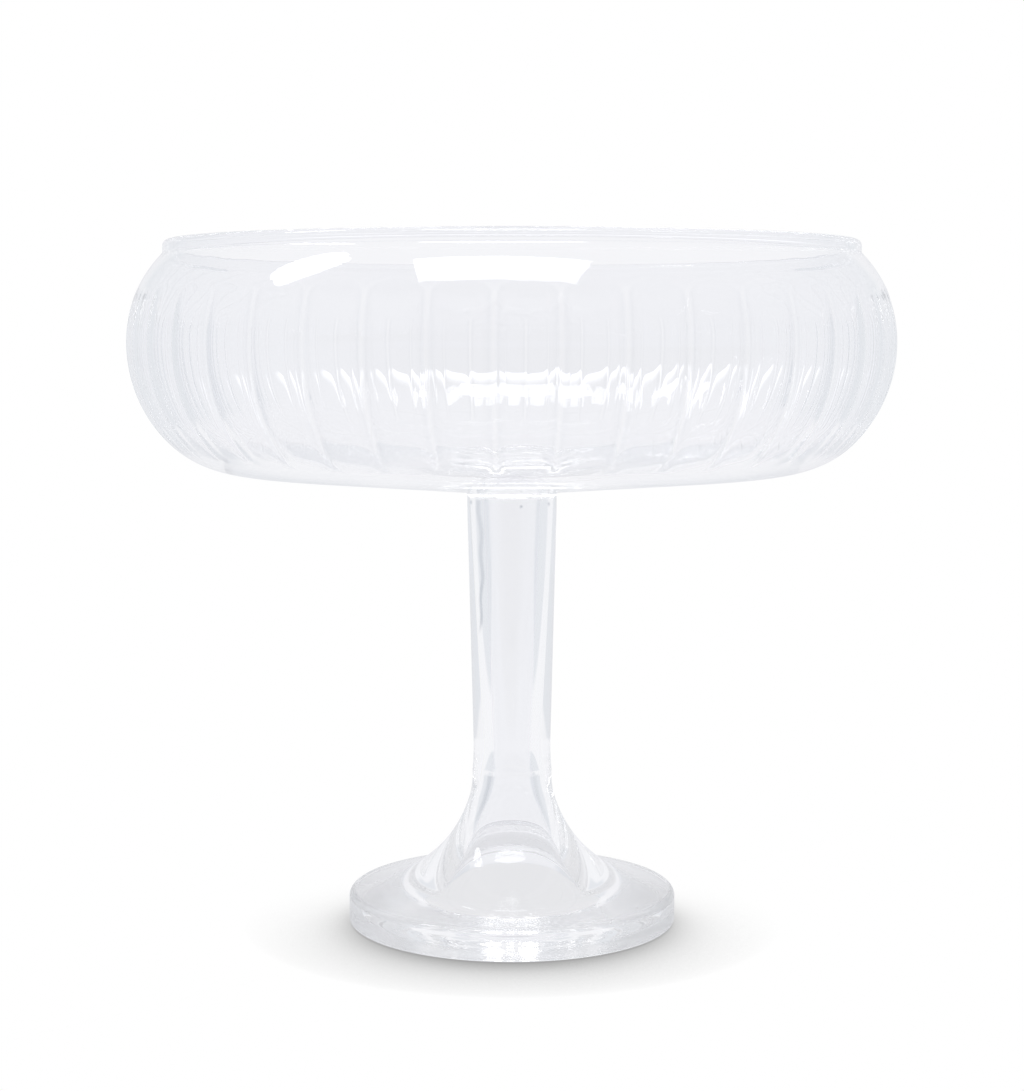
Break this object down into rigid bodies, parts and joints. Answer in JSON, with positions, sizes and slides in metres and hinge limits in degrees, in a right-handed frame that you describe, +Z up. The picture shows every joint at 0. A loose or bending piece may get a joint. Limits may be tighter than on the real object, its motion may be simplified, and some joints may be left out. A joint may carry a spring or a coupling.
{
  "type": "footed salad bowl",
  "caption": "Clear glass compote: a wide shallow bowl with a rolled-in shoulder and fluted panels, on a tapered hollow stem and a flared foot with a thick edge.",
  "frame": {"origin": "on the axis, in the plane that the foot's rest ring stands on", "axes": "+Z up along the axis of the stem, towards the open bowl; +X and +Y across, with a ridge between two flutes facing -Y"},
  "size_m": [0.2592, 0.26, 0.2345],
  "materials": {
    "clear_glass": "clear, fire-polished, with a faint cool tint in thick sections",
    "clear_resin": "clear cured bonding film"
  },
  "bodies": {
    "root": {"bowl": "clear_glass", "upper_bond": "clear_resin", "stem": "clear_glass", "lower_bond": "clear_resin", "foot": "clear_glass"}
  },
  "joints": []
}
